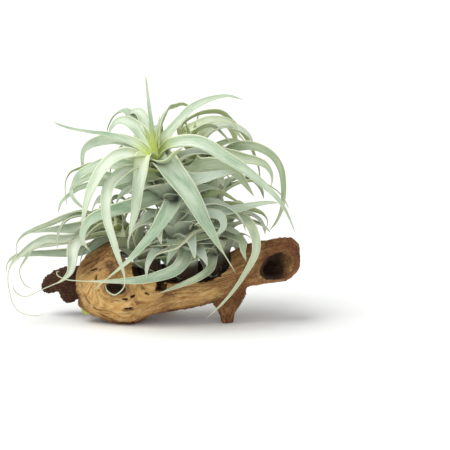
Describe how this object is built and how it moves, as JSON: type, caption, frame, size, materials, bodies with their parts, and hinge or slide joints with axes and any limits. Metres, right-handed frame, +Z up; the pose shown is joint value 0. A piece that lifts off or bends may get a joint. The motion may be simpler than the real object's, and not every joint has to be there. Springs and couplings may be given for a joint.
{
  "type": "cacticola air plant on a grapewood log",
  "caption": "Air plant with long curling silver-green leaves on three leafy shoots, seated in the open trough of a weathered grapewood log.",
  "frame": {"origin": "on the surface, under the flat foot of the log's big left knob", "axes": "+X to the right along the log, towards its raised end; +Y away from the viewer; +Z up"},
  "size_m": [0.3009, 0.1912, 0.2513],
  "materials": {
    "weathered_wood": "matte",
    "mint_leaf": "matte",
    "olive_leaf": "matte",
    "blue_grey_leaf": "matte"
  },
  "bodies": {
    "root": {"grapewood_log": "weathered_wood", "main_shoot": "mint_leaf", "right_shoot": "olive_leaf", "left_shoot": "blue_grey_leaf"}
  },
  "joints": []
}
